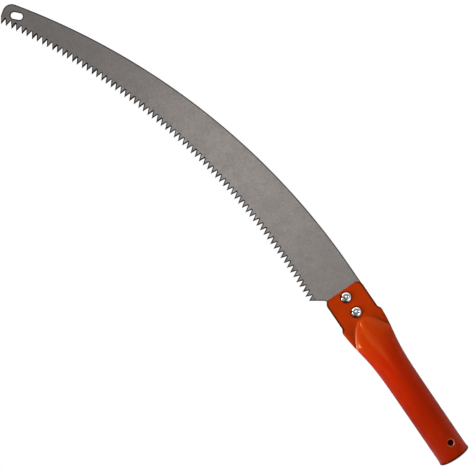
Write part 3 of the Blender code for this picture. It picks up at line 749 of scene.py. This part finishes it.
def maths(tree, operation, *values, clamp=False):
    """A sum on numbers or sockets, which clamp holds between 0 and 1."""
    node = add(tree, "ShaderNodeMath", dict(enumerate(values)), operation=operation, use_clamp=clamp)
    return node.outputs[0]


def vector_maths(tree, operation, *values):
    """A sum on vectors, which gives a number for a length or a product."""
    node = add(tree, "ShaderNodeVectorMath", dict(enumerate(values)), operation=operation)
    return node.outputs["Value" if operation in ("LENGTH", "DOT_PRODUCT") else "Vector"]


def spread(tree, value, low, high, to_low, to_high):
    """Maps a value from one range to another along a smooth step."""
    inputs = {"Value": value, "From Min": low, "From Max": high, "To Min": to_low, "To Max": to_high}
    return add(tree, "ShaderNodeMapRange", inputs, interpolation_type="SMOOTHSTEP").outputs["Result"]


def mixed(tree, factor, first, second, blend="MIX"):
    """A mix of two colours, each given as three numbers or a socket."""
    node = add(tree, "ShaderNodeMix", {"Factor": factor}, data_type="RGBA", blend_type=blend)
    for socket, value in ((node.inputs[6], first), (node.inputs[7], second)):
        if isinstance(value, bpy.types.NodeSocket):
            tree.links.new(value, socket)
        else:
            socket.default_value = (*value, 1.0)
    return node.outputs[2]


def noise(tree, vector, scale, detail=3.0, roughness=0.55):
    """Smooth noise with a number of waves per metre, mostly within NOISE_RANGE."""
    inputs = {"Vector": vector, "Scale": scale, "Detail": detail, "Roughness": roughness}
    return add(tree, "ShaderNodeTexNoise", inputs).outputs["Fac"]


def object_place(tree):
    """The place on a piece, in metres."""
    return add(tree, "ShaderNodeTexCoord").outputs["Object"]


def mesh_shade(tree):
    """The shade that a Patchwork mesh carries: painted shade above 0, painted highlight below."""
    return add(tree, "ShaderNodeAttribute", attribute_name="shade").outputs["Fac"]


def from_axis(tree, place, x, z):
    """The vector to a place from a line along Y, square to that line."""
    offset = vector_maths(tree, "SUBTRACT", place, (float(x), 0.0, float(z)))
    return vector_maths(tree, "MULTIPLY", offset, (1.0, 0.0, 1.0))


def new_finish(name):
    """A new material with its node tree and its shader."""
    finish = bpy.data.materials.new(name)
    finish.use_nodes = True
    return finish, finish.node_tree, finish.node_tree.nodes["Principled BSDF"]


def orange_enamel():
    """Glossy baked enamel: faint cloudiness, orange peel, and painted shade darker towards the butt, round
    the rivets, along the cut edges and beside the crease, with painted highlights in the crease and at the
    screw hole's rim.
    """
    finish, tree, shader = new_finish("orange_enamel")
    place = object_place(tree)
    cloud = noise(tree, place, 45.0)
    height = add(tree, "ShaderNodeSeparateXYZ", {0: place}).outputs["Z"]
    colour = mixed(tree, spread(tree, height, *CHEEK_TONE_HEIGHTS, 0, 1), TUBE_ORANGE, CHEEK_ORANGE)
    # Painted shade, darker towards the butt
    colour = mixed(tree, spread(tree, height, *LOW_TUBE_HEIGHTS, 1, 0), colour, LOW_TUBE_SHADE, "MULTIPLY")
    colour = mixed(tree, spread(tree, cloud, *NOISE_RANGE, 0, 1), colour, ENAMEL_CLOUD_TINT, "MULTIPLY")
    # Painted shade round the rivet heads
    from_rivets = [vector_maths(tree, "LENGTH", from_axis(tree, place, 0.0, z))
                   for z in (FRONT_RIVET_Z, REAR_RIVET_Z)]
    painted_shade = spread(tree, maths(tree, "MINIMUM", *from_rivets), *RIVET_RING_RADII, RIVET_RING_SHADE, 0)
    colour = mixed(tree, painted_shade, colour, RIVET_RING_BROWN)
    shade = mesh_shade(tree)
    # Painted shade where the mesh shade is above 0, painted highlight where it is below
    colour = mixed(tree, maths(tree, "MULTIPLY", shade, 0.9, clamp=True), colour, PAINTED_SHADE_BROWN)
    colour = mixed(tree, maths(tree, "MULTIPLY", shade, -0.8, clamp=True), colour, HIGHLIGHT_ENAMEL)
    peel = noise(tree, place, 700.0, 2.0)
    bump = add(tree, "ShaderNodeBump", {"Strength": 0.10, "Distance": 0.2 * MM, "Height": peel})
    tree.links.new(colour, shader.inputs["Base Color"])
    tree.links.new(bump.outputs["Normal"], shader.inputs["Normal"])
    tree.links.new(spread(tree, cloud, *NOISE_RANGE, 0.20, 0.26), shader.inputs["Roughness"])
    shader.inputs["Specular IOR Level"].default_value = 0.45
    shader.inputs["Specular Tint"].default_value = ENAMEL_GLOSS_TINT
    return finish


def plated_steel():
    """Bright plating, with a painted highlight in white on the rolled rim, and painted shade in patches, in
    its groove and under it.
    """
    finish, tree, shader = new_finish("plated_steel")
    painted_light = mesh_shade(tree)
    speck = noise(tree, object_place(tree), 900.0)
    colour = mixed(tree, spread(tree, speck, 0.35, 0.7, 0, 1), BRIGHT_PLATING, DULL_PLATING)
    # Painted shade where the mesh shade is above 0, a painted highlight on the rim where it is below
    colour = mixed(tree, maths(tree, "MULTIPLY", painted_light, 0.95, clamp=True), colour, RIVET_SHADE_BLACK)
    rim_highlight = maths(tree, "MULTIPLY", painted_light, -1.0, clamp=True)
    colour = mixed(tree, rim_highlight, colour, HIGHLIGHT_PLATING)
    tree.links.new(colour, shader.inputs["Base Color"])
    tree.links.new(spread(tree, speck, *NOISE_RANGE, 0.14, 0.24), shader.inputs["Roughness"])
    tree.links.new(spread(tree, rim_highlight, 0.0, 1.0, 1.0, 0.9), shader.inputs["Metallic"])
    return finish


def ground_steel():
    """Cross-ground steel: streaks across the blade, cloudy tone, painted shade along the edges and tooth
    outlines, painted highlights inside teeth, and ground tooth flanks in painted shade.

    Streaks follow the back arc: the distance from its centre runs across the blade and the angle
    about it runs along. Flanks are told from faces by how little they face Y.
    """
    finish, tree, shader = new_finish("ground_steel")
    place = object_place(tree)
    flat = from_axis(tree, place, *BACK_CENTRE)
    parts = add(tree, "ShaderNodeSeparateXYZ", {0: flat}).outputs
    across = vector_maths(tree, "LENGTH", flat)
    along = maths(tree, "MULTIPLY", maths(tree, "ARCTAN2", parts["Z"], parts["X"]), BACK_RADIUS)
    face = add(tree, "ShaderNodeCombineXYZ", {"X": along, "Y": across}).outputs[0]

    streak = noise(tree, vector_maths(tree, "MULTIPLY", face, STREAK_STRETCH), 1.0)
    speckle = noise(tree, face, 850.0, 2.0)
    cloud = noise(tree, face, 60.0)
    fine = maths(tree, "ADD", spread(tree, streak, *NOISE_RANGE, -0.4, 0.4),
                 spread(tree, speckle, *NOISE_RANGE, -0.4, 0.4))
    tone = maths(tree, "ADD", fine, spread(tree, cloud, *NOISE_RANGE, -0.2, 0.2))
    colour = mixed(tree, spread(tree, tone, -1.0, 1.0, 0, 1), DARK_STEEL, PALE_STEEL)
    warmth = noise(tree, face, 160.0, 2.0)
    colour = mixed(tree, spread(tree, warmth, 0.4, 0.65, 0, 1), colour, WARM_STEEL_TINT, "MULTIPLY")
    shade = mesh_shade(tree)
    # Painted shade on edges and tooth outlines above 0, painted highlight inside teeth below 0
    colour = mixed(tree, maths(tree, "MULTIPLY", shade, 0.92, clamp=True), colour, BLADE_EDGE_BLACK)
    colour = mixed(tree, maths(tree, "MULTIPLY", shade, -1.0, clamp=True), colour, HIGHLIGHT_STEEL)

    line = ToothLine()
    reach = vector_maths(tree, "LENGTH", from_axis(tree, place, *line.centre))
    toothed = maths(tree, "LESS_THAN", reach, float(line.root_radius) + TOOTH_ROOT_MARGIN)
    normal = add(tree, "ShaderNodeNewGeometry").outputs["True Normal"]
    facing = maths(tree, "ABSOLUTE", add(tree, "ShaderNodeSeparateXYZ", {0: normal}).outputs["Y"])
    flank = maths(tree, "MULTIPLY", spread(tree, facing, 0.7, 0.95, 1, 0), toothed)
    handle_way_z = maths(tree, "MULTIPLY", parts["X"], -1.0)
    handle_way = add(tree, "ShaderNodeCombineXYZ", {"X": parts["Z"], "Z": handle_way_z}).outputs[0]
    down = vector_maths(tree, "DOT_PRODUCT", normal, vector_maths(tree, "NORMALIZE", handle_way))
    # Tooth flanks in painted shade: black where they face the handle, dark grey where they face the tip
    flank_colour = mixed(tree, spread(tree, down, -0.3, 0.3, 0, 1), UPPER_FLANK_GREY, LOWER_FLANK_BLACK)
    colour = mixed(tree, flank, colour, flank_colour)
    bump = add(tree, "ShaderNodeBump", {"Strength": 0.12, "Distance": 0.1 * MM, "Height": streak})
    tree.links.new(colour, shader.inputs["Base Color"])
    tree.links.new(bump.outputs["Normal"], shader.inputs["Normal"])
    tree.links.new(spread(tree, tone, -1.0, 1.0, 0.36, 0.29), shader.inputs["Roughness"])
    shader.inputs["Metallic"].default_value = 1.0
    return finish


# Studio

PIXEL = 0.878 * MM
PHOTO_WIDTH = 470
CAMERA_DISTANCE = 1200 * PIXEL
CAMERA_ROLL = radians(34.38)
CAMERA_X = -49.55 * MM
CAMERA_Z = HANDLE_LENGTH + 93.2 * MM
SENSOR = 36.0

# Levels of the room and the floor: as light, and as reflections see them
FILL_LEVEL = 0.09
REFLECTED_LEVEL = 0.27
REFLECTED_LOW = 0.05
REFLECTED_OVERHEAD = 1.2
REFLECTED_BEHIND = 0.05
REFLECTED_FLOOR = 0.25
REFLECTED_FAR = 0.12
REFLECTED_NEAR = 0.08
REFLECTED_NEAR_BEHIND = 0.02
REFLECTED_RIGHT = 0.35

# Where those levels change: along a way to the upper right, along Y, by bearing, and in metres on the floor
BRIGHT_WAY_X = 0.56
BRIGHT_WAY_Z = 0.83
LOW_RANGE = (-0.55, -0.15)
OVERHEAD_RANGE = (0.3, 0.8)
BEHIND_RANGE = (0.0, 0.5)
RIGHT_BEGINS = (-0.40, -0.20)
RIGHT_ENDS = (0.0, 0.2)
NEAR_BEHIND_RANGE = (-0.05, 0.05)
NEAR_FLOOR_RANGE = (0.3, 0.6)
FAR_FLOOR_RANGE = (1.3, 1.9)

FLOOR_REACH = 3.0
FLOOR_DROP = 0.2 * MM
FLOOR_GLOW = 1.17
FLOOR_WHITE = 0.85

# Name, place, target, width and height in metres, power in watts, spread of the beam in degrees
LAMPS = (
    ("arch_top", (-0.15, -0.42, 1.05), (0.0, 0.0, 0.125), (0.30, 0.30), 0.046, 20),
    ("arch_front", (-0.25, -0.80, 0.85), (0.0, 0.0, 0.125), (0.30, 0.30), 0.039, 12),
    ("streak_high", (-0.33, -1.01, 0.70), (0.0, 0.0, 0.13), (0.12, 0.22), 0.0035, 14),
    ("streak_middle", (-0.24, -1.12, 0.48), (0.0, 0.0, 0.115), (0.12, 0.22), 0.0035, 14),
    ("streak_low", (-0.10, -1.18, 0.28), (0.0, 0.0, 0.09), (0.12, 0.18), 0.002, 10),
    ("upper_right", (0.60, -0.70, 0.70), (0.0, 0.0, 0.13), (0.50, 0.50), 0.042, 40),
    ("left_side", (-0.90, -0.35, 0.32), (0.0, 0.0, 0.14), (0.15, 0.15), 0.128, 24),
    ("right_strip", (0.95, -0.08, 0.05), (0.0, 0.0, 0.05), (0.12, 0.30), 1.6, 180),
    ("front", (0.05, -1.5, 0.40), (-0.01, 0.0, 0.33), (0.40, 0.40), 0.56, 180),
    ("back_left", (-0.30, 0.85, 1.00), (0.0, 0.0, 0.20), (0.40, 0.40), 0.20, 50),
    ("back_right", (0.35, 0.80, 0.95), (0.0, 0.0, 0.20), (0.40, 0.40), 0.17, 50),
)
LAMPS_WITHOUT_REFLECTION = ("right_strip",)


def make_camera():
    """Looks along +Y, rolled so that the saw lies on the picture's diagonal."""
    camera = bpy.data.objects.new("camera", bpy.data.cameras.new("camera"))
    bpy.context.scene.collection.objects.link(camera)
    camera.data.sensor_width = SENSOR
    camera.data.lens = SENSOR * CAMERA_DISTANCE / (PHOTO_WIDTH * PIXEL)
    upright = Matrix.Rotation(pi / 2, 4, "X")
    place = Matrix.Translation((CAMERA_X, -CAMERA_DISTANCE, CAMERA_Z))
    camera.matrix_world = place @ Matrix.Rotation(CAMERA_ROLL, 4, "Y") @ upright
    bpy.context.scene.camera = camera


def make_lamp(name, place, target, size, power, spread_degrees):
    """A soft box that faces its target, with its beam held within the given spread."""
    lamp = bpy.data.objects.new(name, bpy.data.lights.new(name, "AREA"))
    bpy.context.scene.collection.objects.link(lamp)
    lamp.data.shape = "RECTANGLE"
    lamp.data.size, lamp.data.size_y = size
    lamp.data.energy = power
    lamp.data.spread = radians(spread_degrees)
    lamp.location = place
    lamp.rotation_euler = (Vector(target) - Vector(place)).to_track_quat("-Z", "Y").to_euler()
    lamp.visible_glossy = name not in LAMPS_WITHOUT_REFLECTION


def background_level(tree, white, reflected, fill):
    """White for rays from the camera or through glass, a level for reflected rays, a fill for the rest."""
    path = add(tree, "ShaderNodeLightPath").outputs
    glossy = maths(tree, "MULTIPLY", path["Is Glossy Ray"], reflected)
    other = maths(tree, "MULTIPLY", maths(tree, "SUBTRACT", 1.0, path["Is Glossy Ray"]), fill)
    direct = maths(tree, "MAXIMUM", path["Is Camera Ray"], path["Is Transmission Ray"])
    return maths(tree, "MAXIMUM", maths(tree, "MULTIPLY", direct, white), maths(tree, "ADD", glossy, other))


def make_world():
    """White to the eye, a dim even fill as light, and in reflections a room.

    The room is bright to the upper right, where the lift along a slanted way is high, and dark low down
    and behind the saw.
    """
    world = bpy.data.worlds.new("studio")
    bpy.context.scene.world = world
    world.use_nodes = True
    tree = world.node_tree
    tree.nodes["Background"].inputs["Color"].default_value = (1.0, 1.0, 1.0, 1.0)
    direction = add(tree, "ShaderNodeTexCoord").outputs["Generated"]
    way = add(tree, "ShaderNodeSeparateXYZ", {0: direction}).outputs
    lift = maths(tree, "ADD", maths(tree, "MULTIPLY", way["X"], BRIGHT_WAY_X),
                 maths(tree, "MULTIPLY", way["Z"], BRIGHT_WAY_Z))
    low = spread(tree, lift, *LOW_RANGE, REFLECTED_LOW, REFLECTED_LEVEL)
    room = maths(tree, "ADD", low, spread(tree, lift, *OVERHEAD_RANGE, 0.0, REFLECTED_OVERHEAD))
    room = maths(tree, "MULTIPLY", room, spread(tree, way["Y"], *BEHIND_RANGE, 1.0, REFLECTED_BEHIND))
    level = background_level(tree, 1.0, room, FILL_LEVEL)
    tree.links.new(level, tree.nodes["Background"].inputs["Strength"])


def make_floor():
    """A wide pale floor just under the butt: nearly white to the eye, plain and so dark inside the socket.

    In reflections it is dim round the saw, with a brighter stretch to the right, and paler further off.
    """
    mesh = bpy.data.meshes.new("floor")
    corners = [(x * FLOOR_REACH, y * FLOOR_REACH, -FLOOR_DROP)
               for x, y in ((-1, -1), (1, -1), (1, 1), (-1, 1))]
    mesh.from_pydata(corners, [], [(0, 1, 2, 3)])
    floor = bpy.data.objects.new("floor", mesh)
    bpy.context.scene.collection.objects.link(floor)
    finish, tree, shader = new_finish("pale_floor")
    shader.inputs["Base Color"].default_value = (0.82, 0.82, 0.82, 1.0)
    shader.inputs["Roughness"].default_value = 0.9
    glow = add(tree, "ShaderNodeEmission", {"Color": (1.0, 1.0, 1.0, 1.0), "Strength": FLOOR_GLOW})
    point = object_place(tree)
    place = add(tree, "ShaderNodeSeparateXYZ", {0: point}).outputs
    bearing = maths(tree, "ARCTAN2", place["Y"], place["X"])
    right = maths(tree, "MULTIPLY", spread(tree, bearing, *RIGHT_BEGINS, 0, REFLECTED_RIGHT),
                  spread(tree, bearing, *RIGHT_ENDS, 1, 0))
    dim = spread(tree, place["Y"], *NEAR_BEHIND_RANGE, REFLECTED_NEAR, REFLECTED_NEAR_BEHIND)
    near = maths(tree, "ADD", right, dim)
    away = vector_maths(tree, "LENGTH", point)
    level = spread(tree, away, *NEAR_FLOOR_RANGE, near, REFLECTED_FLOOR)
    level = spread(tree, away, *FAR_FLOOR_RANGE, level, REFLECTED_FAR)
    white = spread(tree, away, TUBE_RADIUS, TUBE_RADIUS + MOUTH_FLARE, 0.0, FLOOR_WHITE)
    share = background_level(tree, white, level, 0.0)
    both = add(tree, "ShaderNodeMixShader", {0: share, 1: shader.outputs[0], 2: glow.outputs[0]})
    tree.links.new(both.outputs[0], tree.nodes["Material Output"].inputs["Surface"])
    mesh.materials.append(finish)


def make_studio():
    """Lamps for the arch and its streak, lamps at the sides, in front and behind, the room and the floor."""
    for lamp in LAMPS:
        make_lamp(*lamp)
    make_world()
    make_floor()


def dress(piece, finish, node):
    """Gives a piece its finish and lets it stand for its node on the saw's one body."""
    piece.data.materials.append(finish)
    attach(piece, "root")
    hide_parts(node)


def main():
    """Dresses the pieces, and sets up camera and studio."""
    bpy.context.scene.view_settings.view_transform = "Standard"
    dress(make_handle(), orange_enamel(), "handle")
    dress(make_blade(), ground_steel(), "blade")
    plating = plated_steel()
    dress(make_rivet("rolled_rivet_front", FRONT_RIVET_Z), plating, "front_rivet")
    dress(make_rivet("rolled_rivet_rear", REAR_RIVET_Z), plating, "rear_rivet")
    make_camera()
    make_studio()


main()
